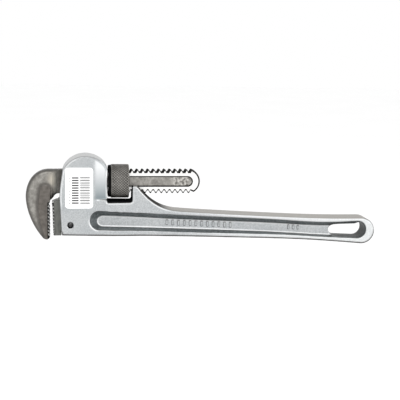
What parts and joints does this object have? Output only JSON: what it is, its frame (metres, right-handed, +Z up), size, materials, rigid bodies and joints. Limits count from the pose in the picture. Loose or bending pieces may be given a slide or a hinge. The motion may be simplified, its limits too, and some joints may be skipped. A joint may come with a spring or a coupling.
{
  "type": "pipe wrench",
  "caption": "Straight aluminium pipe wrench with a sliding hook jaw, a knurled adjusting nut, a fixed heel jaw and an I-beam handle with a hang hole.",
  "frame": {"origin": "centre of the closed wrench's box", "axes": "+X along the handle from the jaws to the hang hole, +Z up across the handle towards the housing's top, broad sides facing -Y and +Y; the jaw gap opens downwards"},
  "size_m": [0.3556, 0.0338, 0.0908],
  "materials": {
    "cast_aluminium": "satin cast, linished faces",
    "forged_steel": "as forged, oxide brown-grey, machined flanks",
    "blackened_steel": "black oxide, diamond knurl",
    "hardened_steel": "hardened, dark grey",
    "spring_steel": "blued spring steel",
    "label_paper": "matte white with plain black bars"
  },
  "bodies": {
    "handle": {"handle_housing": "cast_aluminium", "heel_jaw": "hardened_steel", "heel_jaw_pin": "spring_steel", "price_label": "label_paper", "coil_spring": "spring_steel"},
    "rocker": {"flat_spring": "spring_steel"},
    "hook": {"hook_jaw": "forged_steel"},
    "nut": {"adjusting_nut": "blackened_steel"}
  },
  "joints": [
    {"name": "jaw_rock", "type": "hinge", "parent": "handle", "child": "rocker", "pos_m": [-0.0857, 0, 0.0186], "axis": [0, -1, 0], "range_deg": [0, 1.6], "stiffness_Nm_per_rad": 4, "springref_deg": -12.61, "deforming": ["coil_spring"]},
    {"name": "nut_spin", "type": "hinge", "parent": "rocker", "child": "nut", "pos_m": [-0.0857, 0, 0.0186], "axis": [1, 0, 0], "range_deg": [0, 4140]},
    {"name": "jaw_slide", "type": "slide", "parent": "rocker", "child": "hook", "axis": [-1, 0, 0], "range_m": [0, 0.0632]}
  ],
  "couplings": [
    {"joint": "nut_spin", "follows": "jaw_slide", "rad_per_m": 1142.4}
  ]
}
